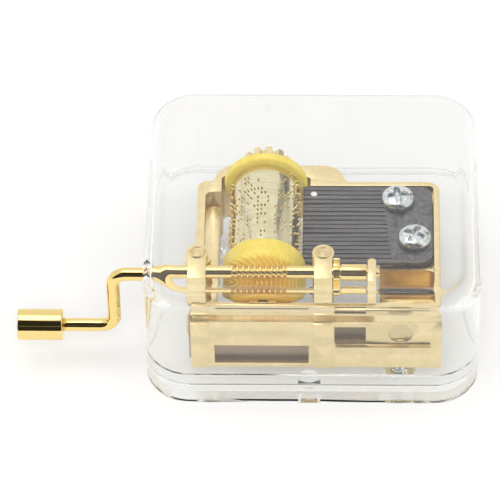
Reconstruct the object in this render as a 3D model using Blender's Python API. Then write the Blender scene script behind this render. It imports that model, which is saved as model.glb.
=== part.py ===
"""A hand crank music box: a clear two-part case, a die-cast base, a steel comb, a pinned cylinder and a worm crank.

Sizes are in millimetres and turned into metres when each mesh is made. The frame has +X to the right, +Y to
the back and +Z up, with its origin at the middle of the case's underside. The crank leaves the left side.
"""

import math

import bmesh
import bpy
import numpy as np

# Case
CASE_W = 60.0
CASE_D = 53.0
CASE_H = 28.0
CORNER_R = 8.2
TOP_EDGE_R = 4.4
INNER_EDGE_R = 1.8
WALL = 1.6
FLOOR = 1.6
SEAM_Z = 5.0
LIP_H = 2.2
LIP_T = 0.65
FIT = 0.2

# Cylinder, with its arbor along Y
BARREL_R = 6.3
BARREL_X = -8.8
AXIS_Z = 15.0
BARREL_Y0 = -6.8
BARREL_Y1 = 12.1
BARREL_T = 0.5
ARBOR_R = 0.65
WHEEL_R = 7.5
WHEEL_TEETH = 36
FLANGE_R = 7.7
FLANGE_T = 1.7
HUB_R = 4.6
HUB_TEETH = 12
HUB_LEN = 4.2

# Worm and crank, with the shaft along X
ROD_R = 1.2
WORM_PITCH = 1.02
WORM_TURNS = 10
WORM_DEPTH = 0.45
WORM_DX = -0.6
MESH_DEPTH = 0.24
TOOTH_DEPTH = 0.5
BEVEL_ANGLE = math.radians(30.0)
BEVEL_AHEAD = 1.2
ARM_X = -(CASE_W / 2 + 5.6)
ARM_LEN = 13.8
BEND_R = 2.6
KNOB_R = 2.85
KNOB_LEN = 8.2
KNOB_X0 = ARM_X - 17.6
CAP_R = 1.9
CAP_DEPTH = 1.1
COLLAR_R = 2.55
COLLAR_TEETH = 12
COLLAR_W = 1.2

# Base
BASE_X0 = -21.4
BASE_X1 = 23.1
BASE_Y0 = -19.2
BASE_Y1 = 13.4
BASE_Z0 = 4.3
RAIL_TOP = 15.5
FRONT_RAIL = 2.4
SLOT_DEPTH = 1.6
LEFT_RAIL = 4.0
LEFT_WALL = 1.5
RIGHT_WALL = 1.1
BACK_WALL = 2.7
LEDGE_Z = 11.4
LOBE_Y1 = 17.6
POST_W = 3.2
POST_TOP = 23.6
POST_Y0 = -17.8
EYE_Y = -11.7
EYE_R = 1.95
LEFT_POST_X = -20.5
RIGHT_POST_X = 1.95
PLATE_X = 10.6
PLATE_W = 1.5

# Comb
COMB_X0 = -1.9
COMB_X1 = 21.8
COMB_Y0 = -6.9
COMB_Y1 = 12.1
COMB_T = 1.5
TOOTH_T = 0.8
COMB_TEETH = 18
SLOT_W = 0.26
SLOT_END_FRONT = 14.4
SLOT_END_BACK = 12.4
COMB_CORNER_R = 2.4
COMB_SCREWS = ((15.4, 8.4), (18.4, -1.3))
SCREW_HEAD_R = 3.0
SCREW_SHANK_R = 1.4
WEIGHTS = 5

# Screws that hold the base to the tray
TRAY_SCREWS = ((-19.3, 7.5), (15.8, -16.9), (19.4, 4.2))
BOSS_R = 2.9
TRAY_HEAD_R = 2.1
TRAY_SHANK_R = 0.95

# Values that follow from the sizes above
PITCH_R = WHEEL_TEETH * WORM_PITCH / (2 * math.pi)
ALONG = math.cos(BEVEL_ANGLE)
ACROSS = math.sin(BEVEL_ANGLE)
CONTACT = ROD_R - MESH_DEPTH
SHAFT_Z = AXIS_Z + PITCH_R + CONTACT * ALONG
COMB_TOP = AXIS_Z + 0.6
COMB_SEAT = COMB_TOP - COMB_T - FIT
WHEEL_BACK = BARREL_Y0 - FIT
SHAFT_Y = -14.7
CONTACT_Y = SHAFT_Y + CONTACT * ACROSS
BEVEL_BACK = CONTACT_Y + (WHEEL_R - PITCH_R) * ALONG / ACROSS
WHEEL_FRONT = CONTACT_Y - BEVEL_AHEAD
FRONT_R = PITCH_R - BEVEL_AHEAD * ACROSS / ALONG
FLANGE_Y0 = BARREL_Y1 + FIT
HUB_Y0 = FLANGE_Y0 + FLANGE_T + FIT
KNOB_Z = SHAFT_Z - ARM_LEN
WORM_X = BARREL_X + WORM_DX


def clear_scene():
    """Removes everything that a new scene starts with."""
    for obj in list(bpy.data.objects):
        bpy.data.objects.remove(obj, do_unlink=True)


def material(name, colour, metallic, roughness, transmission=0.0):
    made = bpy.data.materials.new(name)
    made.use_nodes = True
    shader = made.node_tree.nodes["Principled BSDF"]
    shader.inputs["Base Color"].default_value = (*colour, 1.0)
    shader.inputs["Metallic"].default_value = metallic
    shader.inputs["Roughness"].default_value = roughness
    shader.inputs["Transmission Weight"].default_value = transmission
    return made


def gold(name):
    return material(name, (0.83, 0.62, 0.30), 1.0, 0.25)


def polished_gold(name):
    return material(name, (0.90, 0.72, 0.38), 1.0, 0.08)


def steel(name):
    return material(name, (0.60, 0.60, 0.61), 1.0, 0.3)


def plastic(name):
    return material(name, (0.90, 0.72, 0.06), 0.0, 0.35)


def clear(name):
    return material(name, (0.95, 0.96, 0.97), 0.0, 0.04, 1.0)


def node(name, points, faces, look, where, origin=(0.0, 0.0, 0.0)):
    """A named mesh object with its origin at the given point, from points in millimetres."""
    mesh = bpy.data.meshes.new(name)
    placed = (np.asarray(points, float) - np.asarray(origin, float)) * 0.001
    mesh.from_pydata(placed.tolist(), [], [list(face) for face in faces])
    shape = bmesh.new()
    shape.from_mesh(mesh)
    bmesh.ops.recalc_face_normals(shape, faces=shape.faces)
    shape.to_mesh(mesh)
    shape.free()
    obj = bpy.data.objects.new(name, mesh)
    obj.location = [value * 0.001 for value in origin]
    if look:
        mesh.materials.append(look)
    where.objects.link(obj)
    return obj


def strip(rings, closed=False):
    """Points and faces of rings of equal count joined in turn, with flat end caps or wrapped round to a loop."""
    count = len(rings[0])
    points = np.concatenate(rings)
    faces = []
    for k in range(len(rings) if closed else len(rings) - 1):
        here = k * count
        after = (k + 1) % len(rings) * count
        for i in range(count):
            j = (i + 1) % count
            faces.append((here + i, here + j, after + j, after + i))
    if not closed:
        faces.append(tuple(range(count))[::-1])
        faces.append(tuple(range(len(points) - count, len(points))))
    return points, faces


def rounded_rectangle(width, depth, radius, centre=(0.0, 0.0), steps=7):
    """Plan outline of a rectangle with round corners, anticlockwise."""
    found = []
    for k, (sx, sy) in enumerate(((1, 1), (-1, 1), (-1, -1), (1, -1))):
        for i in range(steps + 1):
            angle = math.pi / 2 * (k + i / steps)
            found.append(
                (
                    centre[0] + sx * (width / 2 - radius) + radius * math.cos(angle),
                    centre[1] + sy * (depth / 2 - radius) + radius * math.sin(angle),
                )
            )
    return np.array(found)


def case_ring(inset, z):
    """The case's plan outline, drawn in by the inset and held at a height."""
    radius = max(CORNER_R - inset, 0.4)
    plan = rounded_rectangle(CASE_W - 2 * inset, CASE_D - 2 * inset, radius)
    return np.column_stack([plan, np.full(len(plan), z)])


def prism(outline, z0, z1):
    """A plan outline drawn up from one height to another."""
    plan = np.asarray(outline, float)
    low = np.column_stack([plan, np.full(len(plan), z0)])
    high = np.column_stack([plan, np.full(len(plan), z1)])
    return strip([low, high])


def box(x0, x1, y0, y1, z0, z1):
    return prism([(x0, y0), (x1, y0), (x1, y1), (x0, y1)], z0, z1)


def turned(profile, axis, centre, segments, closed=False):
    """A profile of (distance along, radius) pairs turned about an axis through the centre."""
    angle = np.arange(segments) * 2 * math.pi / segments
    rings = []
    for along, radius in profile:
        a = np.full(segments, along)
        c, s = radius * np.cos(angle), radius * np.sin(angle)
        ring = {"X": (a, c, s), "Y": (s, a, c), "Z": (c, s, a)}[axis]
        rings.append(np.column_stack(ring) + np.asarray(centre, float))
    return strip(rings, closed)


def rod(axis, centre, start, end, radius, segments=24):
    return turned([(start, radius), (end, radius)], axis, centre, segments)


def castellated(places, outer, teeth, bore, centre, axis):
    """A ring with square teeth round it, from bore to bore between two places along its axis."""
    share = np.array([0.0, 0.5, 0.58, 0.92])
    depth = np.array([1.0, 1.0, 0.8, 0.8])
    angle = (np.arange(teeth)[:, None] + share[None, :]).ravel() * 2 * math.pi / teeth
    radius = outer * np.tile(depth, teeth)
    start, end = places
    rings = []
    for place, r in ((start, bore), (start, radius), (end, radius), (end, bore)):
        a = np.full(len(angle), place)
        c, d = r * np.cos(angle), r * np.sin(angle)
        ring = {"X": (a, c, d), "Y": (d, a, c)}[axis]
        rings.append(np.column_stack(ring) + np.asarray(centre, float))
    return strip(rings, closed=True)


def helper(name, shape, cutters):
    obj = node(name, *shape, None, cutters)
    obj.hide_render = True
    obj.display_type = "WIRE"
    return obj


def boolean(obj, operation, name, shape, cutters):
    """Cuts a shape from the object, or joins it on."""
    change = obj.modifiers.new(name, "BOOLEAN")
    change.operation = operation
    change.solver = "EXACT"
    change.object = helper(f"{obj.name}_{name}", shape, cutters)


def cut(obj, name, shape, cutters):
    boolean(obj, "DIFFERENCE", name, shape, cutters)


def add(obj, name, shape, cutters):
    boolean(obj, "UNION", name, shape, cutters)


def case_cover(parts, cutters):
    top = CASE_H
    outside = []
    for i in range(7):
        angle = math.pi / 2 * (1 - i / 6)
        inset = TOP_EDGE_R * (1 - math.cos(angle))
        outside.append(case_ring(inset, top - TOP_EDGE_R * (1 - math.sin(angle))))
    outside.append(case_ring(0, SEAM_Z + FIT))
    rabbet = WALL - LIP_T - FIT
    rabbet_top = SEAM_Z + LIP_H + FIT + 0.1
    inside = [case_ring(rabbet, SEAM_Z + FIT), case_ring(rabbet, rabbet_top)]
    inside.append(case_ring(WALL, rabbet_top))
    for i in range(4):
        angle = math.pi / 2 * i / 3
        inset = WALL + INNER_EDGE_R * (1 - math.cos(angle))
        inside.append(
            case_ring(inset, top - WALL - INNER_EDGE_R * (1 - math.sin(angle)))
        )
    cover = node("case_cover", *strip(outside + inside), clear("cover_clear"), parts)
    hole = rod("X", (0, SHAFT_Y, SHAFT_Z), -CASE_W / 2 - 2, -CASE_W / 2 + 4, ROD_R + 0.6)
    cut(cover, "crank_hole", hole, cutters)
    return cover


def case_tray(parts, cutters):
    lip_top = SEAM_Z + LIP_H
    rings = [
        case_ring(0.7, 0.0),
        case_ring(0.2, 0.2),
        case_ring(0.0, 0.7),
        case_ring(0.0, SEAM_Z),
        case_ring(WALL - LIP_T, SEAM_Z),
        case_ring(WALL - LIP_T, lip_top),
        case_ring(WALL, lip_top),
        case_ring(WALL, FLOOR + 0.8),
        case_ring(WALL + 0.8, FLOOR),
    ]
    tray = node("case_tray", *strip(rings), clear("tray_clear"), parts)
    for k, (x, y) in enumerate(TRAY_SCREWS, 1):
        boss = rod("Z", (x, y, 0), FLOOR - 0.6, BASE_Z0 - FIT, BOSS_R)
        add(tray, f"boss_{k}", boss, cutters)
    for k, (x, y) in enumerate(TRAY_SCREWS, 1):
        head = rod("Z", (x, y, 0), -1.0, 1.5, TRAY_HEAD_R + FIT, 20)
        cut(tray, f"head_hole_{k}", head, cutters)
        shank = rod("Z", (x, y, 0), 0.5, BASE_Z0 + 1, TRAY_SHANK_R + FIT, 16)
        cut(tray, f"shank_hole_{k}", shank, cutters)
    gate = rod("Z", (-0.5, -22.0, 0), FLOOR - 0.6, SEAM_Z - 0.6, 2.1, 20)
    add(tray, "front_boss", gate, cutters)
    return tray


def tray_screws(parts, cutters):
    for k, (x, y) in enumerate(TRAY_SCREWS, 1):
        profile = [
            (0.15, TRAY_HEAD_R - 0.3),
            (0.35, TRAY_HEAD_R),
            (1.3, TRAY_HEAD_R),
            (1.3, TRAY_SHANK_R),
            (8.6, TRAY_SHANK_R),
            (9.0, TRAY_SHANK_R - 0.4),
        ]
        shape = turned(profile, "Z", (x, y, 0), 20)
        screw = node(f"tray_screw_{k}", *shape, steel(f"tray_screw_steel_{k}"), parts)
        cross_cut(screw, (x, y, 0.0), 0.45, 1.3, -1.0, 0.8, cutters)


def cross_cut(screw, at, width, reach, z0, z1, cutters):
    """The cross recess of a screw head."""
    x, y, _ = at
    half = width / 2
    bar = box(x - reach, x + reach, y - half, y + half, z0, z1)
    cut(screw, "slot_a", bar, cutters)
    bar = box(x - half, x + half, y - reach, y + reach, z0, z1)
    cut(screw, "slot_b", bar, cutters)


def base_outline():
    """The base's plan: a block with round back corners and a round-shouldered lobe behind the cylinder."""
    found = [(BASE_X0, BASE_Y0), (BASE_X1, BASE_Y0)]

    def turn(cx, cy, radius, start, end, steps=8):
        for i in range(steps + 1):
            a = math.radians(start + (end - start) * i / steps)
            found.append((cx + radius * math.cos(a), cy + radius * math.sin(a)))

    lobe0, lobe1, shoulder = BARREL_X - 9.4, 5.6, 3.9
    turn(BASE_X1 - 2.4, BASE_Y1 - 2.4, 2.4, 0, 90)
    turn(lobe1 + 1.0, BASE_Y1 + 1.0, 1.0, 270, 180, 3)
    turn(lobe1 - shoulder, LOBE_Y1 - shoulder, shoulder, 0, 90)
    turn(lobe0 + shoulder, LOBE_Y1 - shoulder, shoulder, 90, 180)
    turn(lobe0 - 1.0, BASE_Y1 + 1.0, 1.0, 0, -90, 3)
    turn(BASE_X0 + 2.0, BASE_Y1 - 2.0, 2.0, 90, 180)
    return found


def finger(x, width, y0, eye_y, eye_r, z0, z1):
    """An upright seen from above: a flat front, straight sides and a round eye at the back."""
    half = width / 2
    neck = math.asin(min(half / eye_r, 1.0))
    plan = [(x - half, y0), (x + half, y0)]
    for i in range(21):
        a = -math.pi / 2 + neck + (2 * math.pi - 2 * neck) * i / 20
        plan.append((x + eye_r * math.cos(a), eye_y + eye_r * math.sin(a)))
    return prism(plan, z0, z1)


def base_uprights(base, cutters):
    """The two uprights that carry the shaft, and the thin plate at its tip."""
    low = BASE_Z0 + 1
    for name, x in (("left", LEFT_POST_X), ("right", RIGHT_POST_X)):
        eye = finger(x, POST_W, POST_Y0, EYE_Y, EYE_R, low, POST_TOP)
        add(base, f"{name}_upright", eye, cutters)
    collar = rod("Z", (LEFT_POST_X, EYE_Y + 0.3, 0), low, POST_TOP - 1.6, EYE_R + 0.4)
    add(base, "left_boss", collar, cutters)
    half = PLATE_W / 2
    plate = finger(PLATE_X, PLATE_W, POST_Y0, SHAFT_Y + 1.5, half, low, POST_TOP - 0.6)
    add(base, "end_plate", plate, cutters)
    end = RIGHT_POST_X + POST_W
    bore = rod("X", (0, SHAFT_Y, SHAFT_Z), BASE_X0 - 3, end, ROD_R + FIT)
    cut(base, "shaft_bore", bore, cutters)
    tip = rod("X", (0, SHAFT_Y, SHAFT_Z), PLATE_X - 3, PLATE_X + 3, ROD_R - 0.4 + FIT)
    cut(base, "shaft_tip_bore", tip, cutters)


def base_front(base, cutters):
    """The casting's front: two ribs, two sunk slots, a step and a round dish."""
    sunk = BASE_Y0 + SLOT_DEPTH
    slot = box(-17.5, -0.6, BASE_Y0 - 1, sunk, 5.3, 9.6)
    cut(base, "front_slot", slot, cutters)
    slot = box(4.0, PLATE_X - 1.0, BASE_Y0 - 1, sunk, 10.5, 14.2)
    cut(base, "right_slot", slot, cutters)
    for name, x in (("left", LEFT_POST_X + 0.4), ("right", RIGHT_POST_X)):
        rib = box(x - 1.6, x + 1.6, BASE_Y0 - 0.5, BASE_Y0 + 1, BASE_Z0 + 0.2, RAIL_TOP - 0.3)
        add(base, f"{name}_rib", rib, cutters)
    step = box(4.2, 21.2, BASE_Y0 - 0.9, BASE_Y0 + 1, 5.3, 10.1)
    add(base, "front_step", step, cutters)
    dish = rod("Y", (15.8, 0, 12.7), BASE_Y0 - 1, BASE_Y0 + 0.5, 2.2)
    cut(base, "front_dish", dish, cutters)


def cylinder_bearings(base, cutters):
    """The notched boss in front of the wheel and the open notch round the rear hub."""
    inner_y0 = BASE_Y0 + FRONT_RAIL
    far = RAIL_TOP + 2
    x = BARREL_X
    ring = HUB_R + 0.4
    cut(base, "hub_notch", rod("Y", (x, 0, AXIS_Z), 13.0, LOBE_Y1 + 2, ring), cutters)
    top = box(x - ring, x + ring, 13.0, LOBE_Y1 + 2, AXIS_Z, far)
    cut(base, "hub_notch_top", top, cutters)
    boss_y1 = WHEEL_FRONT - 0.4
    boss = box(x - 2.4, x + 2.4, inner_y0 - 1.0, boss_y1, BASE_Z0 + 3, AXIS_Z + 1.5)
    add(base, "arbor_boss", boss, cutters)
    wide = ARBOR_R + 0.3
    y0 = inner_y0 - 0.6
    cut(base, "arbor_notch", rod("Y", (x, 0, AXIS_Z), y0, WHEEL_FRONT, wide), cutters)
    top = box(x - wide, x + wide, y0, WHEEL_FRONT, AXIS_Z, far)
    cut(base, "arbor_notch_top", top, cutters)


def movement_base(parts, cutters):
    shape = prism(base_outline(), BASE_Z0, RAIL_TOP)
    base = node("movement_base", *shape, gold("base_gold"), parts)
    seat_x = 12.2
    inner_y0 = BASE_Y0 + FRONT_RAIL
    inner_y1 = BASE_Y1 - BACK_WALL
    far = RAIL_TOP + 2

    def hollow(name, x0, x1, y0, y1, z0, radius):
        centre = ((x0 + x1) / 2, (y0 + y1) / 2)
        plan = rounded_rectangle(x1 - x0, y1 - y0, radius, centre, 5)
        cut(base, name, prism(plan, z0, far), cutters)

    left = BASE_X0 + LEFT_WALL
    right = BASE_X1 - RIGHT_WALL
    hollow("pocket", left, seat_x, inner_y0, inner_y1, LEDGE_Z, 1.2)
    low = BASE_Z0 - 2
    hollow("window", BASE_X0 + LEFT_RAIL, seat_x, inner_y0, inner_y1, low, 1.6)
    half = WHEEL_R + 0.7
    hollow("flange_space", BARREL_X - half, BARREL_X + half, 4.0, 14.7, low, 0.8)
    hollow("comb_seat", COMB_X0, right, COMB_Y0 - 1.4, BASE_Y1 - 1.0, COMB_SEAT, 0.8)
    hollow("front_pocket", seat_x - 2, right, inner_y0, COMB_Y0 - 0.4, 8.2, 1.0)
    cylinder_bearings(base, cutters)
    base_uprights(base, cutters)
    base_front(base, cutters)
    for k, (x, y) in enumerate(COMB_SCREWS, 1):
        hole = rod("Z", (x, y, 0), COMB_SEAT - 5.6, far, SCREW_SHANK_R + FIT, 20)
        cut(base, f"comb_screw_hole_{k}", hole, cutters)
    for k, (x, y) in enumerate(TRAY_SCREWS, 1):
        if k == 2:
            pillar = rod("Z", (x, y, 0), BASE_Z0, 11.0, 2.1, 20)
            add(base, "tray_pillar", pillar, cutters)
        hole = rod("Z", (x, y, 0), BASE_Z0 - 2, 9.6, TRAY_SHANK_R + FIT, 16)
        cut(base, f"tray_screw_hole_{k}", hole, cutters)
    return base


def comb_outline():
    """The comb's plan: teeth to the left with slots between them, and round corners to the right."""
    pitch = (COMB_Y1 - COMB_Y0) / COMB_TEETH
    found = [(COMB_X0, COMB_Y0)]
    r = COMB_CORNER_R
    for cy, start in ((COMB_Y0 + r, -90), (COMB_Y1 - r, 0)):
        for i in range(9):
            a = math.radians(start + 90 * i / 8)
            found.append((COMB_X1 - r + r * math.cos(a), cy + r * math.sin(a)))
    found.append((COMB_X0, COMB_Y1))
    for k in range(COMB_TEETH - 1, 0, -1):
        y = COMB_Y0 + k * pitch
        share = k / COMB_TEETH
        end = SLOT_END_FRONT + (SLOT_END_BACK - SLOT_END_FRONT) * share
        half = SLOT_W / 2
        found += [(COMB_X0, y + half), (end, y + half), (end, y - half)]
        found.append((COMB_X0, y - half))
    return found


def comb(parts, cutters):
    shape = prism(comb_outline(), COMB_TOP - TOOTH_T, COMB_TOP)
    made = node("comb", *shape, steel("comb_steel"), parts)
    body = rounded_rectangle(
        COMB_X1 - SLOT_END_FRONT - 0.5,
        COMB_Y1 - COMB_Y0 - 0.3,
        COMB_CORNER_R - 0.2,
        ((COMB_X1 + SLOT_END_FRONT) / 2 + 0.1, (COMB_Y0 + COMB_Y1) / 2),
        5,
    )
    add(made, "body", prism(body, COMB_TOP - COMB_T, COMB_TOP - 0.3), cutters)
    for k, (x, y) in enumerate(COMB_SCREWS, 1):
        hole = rod("Z", (x, y, 0), COMB_SEAT - 1, COMB_TOP + 1, SCREW_SHANK_R + FIT, 20)
        cut(made, f"screw_hole_{k}", hole, cutters)
    return made


def comb_weights(parts):
    """The small lead blocks under the tips of the longest teeth."""
    pitch = (COMB_Y1 - COMB_Y0) / COMB_TEETH
    look = material("lead", (0.35, 0.35, 0.37), 1.0, 0.5)
    for k in range(WEIGHTS):
        y0 = COMB_Y0 + k * pitch + SLOT_W / 2 + 0.05
        y1 = COMB_Y0 + (k + 1) * pitch - SLOT_W / 2 - 0.05
        x0 = COMB_X0 + 1.4
        low = COMB_TOP - TOOTH_T - FIT - 2.0 + 0.25 * k
        shape = box(x0, x0 + 3.4 - 0.3 * k, y0, y1, low, COMB_TOP - TOOTH_T - 0.1)
        node(f"comb_weight_{k + 1}", *shape, look, parts)


def comb_screws(parts, cutters):
    for k, (x, y) in enumerate(COMB_SCREWS, 1):
        low = COMB_TOP + FIT
        r = SCREW_HEAD_R
        profile = [
            (COMB_SEAT - 5.2, SCREW_SHANK_R - 0.4),
            (COMB_SEAT - 4.8, SCREW_SHANK_R),
            (low, SCREW_SHANK_R),
            (low, r),
            (low + 0.7, r),
            (low + 1.35, r * 0.82),
            (low + 1.7, r * 0.5),
            (low + 1.8, r * 0.2),
        ]
        shape = turned(profile, "Z", (x, y, 0), 28)
        name = "front" if k == 2 else "back"
        made = node(f"comb_screw_{name}", *shape, steel(f"zinc_{name}"), parts)
        cross_cut(made, (x, y, 0), 0.55, 1.6, low + 0.8, low + 4, cutters)


def barrel(parts, origin):
    inner = BARREL_R - BARREL_T
    profile = [
        (BARREL_Y0, inner),
        (BARREL_Y0, BARREL_R),
        (BARREL_Y1, BARREL_R),
        (BARREL_Y1, inner),
    ]
    shape = turned(profile, "Y", (BARREL_X, 0, AXIS_Z), 64, closed=True)
    return node("cylinder_barrel", *shape, polished_gold("barrel_brass"), parts, origin)


def arbor(parts, origin):
    start, end = BASE_Y0 + FRONT_RAIL - 0.4, HUB_Y0 + HUB_LEN + 0.5
    profile = [
        (start, ARBOR_R - 0.15),
        (start + 0.15, ARBOR_R),
        (end - 0.15, ARBOR_R),
        (end, ARBOR_R - 0.15),
    ]
    shape = turned(profile, "Y", (BARREL_X, 0, AXIS_Z), 20)
    return node("cylinder_arbor", *shape, steel("arbor_steel"), parts, origin)


def worm_wheel(parts, origin):
    """A wheel whose bevelled front edge carries slanting teeth; a gap faces the worm at the top."""
    step = 2 * math.pi / WHEEL_TEETH
    share = np.array([-1 / 6, 1 / 6, 1 / 3, 2 / 3])
    depth = np.array([1.0, 1.0, 0.0, 0.0])
    angle = (np.arange(WHEEL_TEETH)[:, None] + share[None, :]).ravel() * step
    gap = np.tile(depth, WHEEL_TEETH)
    slant = WORM_PITCH / (2 * math.pi * CONTACT)
    bore = ARBOR_R + FIT
    spigot = BARREL_R - BARREL_T - FIT
    profile = [
        (WHEEL_FRONT, bore, 0.0),
        (WHEEL_FRONT, 3.6, 0.0),
        (WHEEL_FRONT, FRONT_R, 1.0),
        (CONTACT_Y, PITCH_R, 1.0),
        (BEVEL_BACK, WHEEL_R, 1.0),
        (BEVEL_BACK + TOOTH_DEPTH / ACROSS + 0.3, WHEEL_R, 0.0),
        (WHEEL_BACK - 0.5, WHEEL_R, 0.0),
        (WHEEL_BACK, WHEEL_R - 0.5, 0.0),
        (WHEEL_BACK, spigot, 0.0),
        (WHEEL_BACK + 2.0, spigot, 0.0),
        (WHEEL_BACK + 2.0, bore, 0.0),
    ]
    rings = []
    for y, r, toothed in profile:
        along = (y - CONTACT_Y) / ALONG if toothed else 0.0
        turned_by = angle - slant * along / PITCH_R
        sunk = TOOTH_DEPTH * gap * toothed
        if y == WHEEL_FRONT:
            offset, radius = 0 * sunk, r - sunk / ALONG
        elif toothed and y == BEVEL_BACK:
            offset, radius = sunk / ACROSS, r - 0 * sunk
        else:
            offset, radius = sunk * ACROSS, r - sunk * ALONG
        rings.append(
            np.column_stack(
                [
                    BARREL_X + radius * np.sin(turned_by),
                    y + offset,
                    AXIS_Z + radius * np.cos(turned_by),
                ]
            )
        )
    shape = strip(rings, closed=True)
    return node("worm_wheel", *shape, plastic("wheel_plastic"), parts, origin)


def rear_flange(parts, origin):
    bore = ARBOR_R + FIT
    spigot = BARREL_R - BARREL_T - FIT
    y0, y1 = FLANGE_Y0, FLANGE_Y0 + FLANGE_T
    profile = [
        (y0 - 2.0, bore),
        (y0 - 2.0, spigot),
        (y0, spigot),
        (y0, FLANGE_R - 0.6),
        (y0 + 0.25, FLANGE_R - 0.15),
        (y0 + 0.6, FLANGE_R),
        (y1 - 0.6, FLANGE_R),
        (y1 - 0.25, FLANGE_R - 0.15),
        (y1, FLANGE_R - 0.6),
        (y1, bore),
    ]
    shape = turned(profile, "Y", (BARREL_X, 0, AXIS_Z), 60, closed=True)
    return node("rear_flange", *shape, plastic("flange_plastic"), parts, origin)


def rear_hub(parts, origin):
    """The castellated metal hub at the back of the cylinder."""
    place = (HUB_Y0, HUB_Y0 + HUB_LEN)
    at = (BARREL_X, 0, AXIS_Z)
    shape = castellated(place, HUB_R, HUB_TEETH, ARBOR_R + FIT, at, "Y")
    return node("rear_hub", *shape, gold("hub_gold"), parts, origin)


def thread_depth(x, theta):
    """How far the worm's groove is cut at a place along the rod and an angle round it; left-handed."""
    facing = math.pi / 2 - BEVEL_ANGLE
    turn = (x - BARREL_X) / WORM_PITCH + (theta + facing) / (2 * math.pi)
    away = np.abs(turn - np.round(turn))
    groove = np.clip((away - 0.16) / 0.18, 0, 1)
    reach = WORM_TURNS * WORM_PITCH / 2
    ends = np.clip((reach - abs(x - WORM_X)) / 0.8, 0, 1)
    return WORM_DEPTH * groove * ends


def crank_path():
    """Stations along the rod as (x, z, direction angle), from the right end to the left one."""
    found = [(PLATE_X + PLATE_W / 2 + 0.6, SHAFT_Z, 0.0), (PLATE_X - 1.2, SHAFT_Z, 0.0)]
    found += [(PLATE_X - 1.3, SHAFT_Z, 0.0)]
    half = WORM_TURNS * WORM_PITCH / 2
    for i in range(8 * WORM_TURNS + 1):
        found.append((WORM_X + half - i * WORM_PITCH / 8, SHAFT_Z, 0.0))
    for i in range(7):
        a = math.pi / 2 * i / 6
        x = ARM_X + BEND_R - BEND_R * math.sin(a)
        found.append((x, SHAFT_Z - BEND_R * (1 - math.cos(a)), a))
    for i in range(7):
        a = math.pi / 2 * (1 - i / 6)
        x = ARM_X - BEND_R * (1 - math.sin(a))
        found.append((x, KNOB_Z + BEND_R * (1 - math.cos(a)), a))
    found.append((KNOB_X0 + CAP_DEPTH, KNOB_Z, 0.0))
    found.append((KNOB_X0 + CAP_DEPTH - FIT / 2, KNOB_Z, 0.0))
    return found


def crank_rod(parts, origin):
    """One bent rod: the tip in the end plate, the worm, the arm outside the case and the knob's pin."""
    theta = np.arange(16) * 2 * math.pi / 16
    rings = []
    path = crank_path()
    for k, (x, z, bend) in enumerate(path):
        radius = np.full(16, ROD_R)
        if k < 2:
            radius -= 0.4
        elif k == len(path) - 1:
            radius -= 0.3
        elif bend == 0.0 and abs(x - WORM_X) < WORM_TURNS * WORM_PITCH / 2:
            radius = ROD_R - thread_depth(x, theta)
        side, up = radius * np.cos(theta), radius * np.sin(theta)
        rings.append(
            np.column_stack(
                [x - up * math.sin(bend), SHAFT_Y + side, z + up * math.cos(bend)]
            )
        )
    look = polished_gold("crank_gold")
    return node("crank_rod", *strip(rings), look, parts, origin)


def crank_knob(parts):
    bore = ROD_R + FIT
    well = CAP_R + FIT
    x0, x1, r = KNOB_X0, KNOB_X0 + KNOB_LEN, KNOB_R
    profile = [
        (x0 + CAP_DEPTH, bore),
        (x0 + CAP_DEPTH, well),
        (x0, well),
        (x0, r - 0.25),
        (x0 + 0.25, r),
        (x1 - 0.2, r),
        (x1, r - 0.2),
        (x1, bore),
    ]
    at = (0, SHAFT_Y, KNOB_Z)
    shape = turned(profile, "X", at, 32, closed=True)
    return node("crank_knob", *shape, polished_gold("knob_gold"), parts, at)


def knob_cap(parts):
    """The flat head riveted on the pin's end, sunk in the knob's end, which keeps the knob on."""
    x0, x1 = KNOB_X0 + 0.15, KNOB_X0 + CAP_DEPTH - FIT
    profile = [(x0, CAP_R - 0.3), (x0 + 0.25, CAP_R), (x1, CAP_R)]
    shape = turned(profile, "X", (0, SHAFT_Y, KNOB_Z), 24)
    look = polished_gold("cap_gold")
    return node("knob_cap", *shape, look, parts, (0, SHAFT_Y, SHAFT_Z))


def shaft_collar(parts, origin):
    """The castellated ring that keeps the shaft from sliding out."""
    x0 = RIGHT_POST_X + POST_W / 2 + FIT
    place = (x0, x0 + COLLAR_W)
    bore = ROD_R + FIT / 2
    at = (0, SHAFT_Y, SHAFT_Z)
    shape = castellated(place, COLLAR_R, COLLAR_TEETH, bore, at, "X")
    look = polished_gold("collar_gold")
    return node("shaft_collar", *shape, look, parts, origin)


def shaft_sleeve(parts, origin):
    x0 = RIGHT_POST_X + POST_W / 2 + FIT * 2 + COLLAR_W
    x1 = PLATE_X - PLATE_W / 2 - FIT
    bore = ROD_R + FIT / 2
    profile = [(x0, bore), (x0, bore + 0.25), (x1, bore + 0.25), (x1, bore)]
    shape = turned(profile, "X", (0, SHAFT_Y, SHAFT_Z), 24, closed=True)
    look = polished_gold("sleeve_gold")
    return node("shaft_sleeve", *shape, look, parts, origin)


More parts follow.
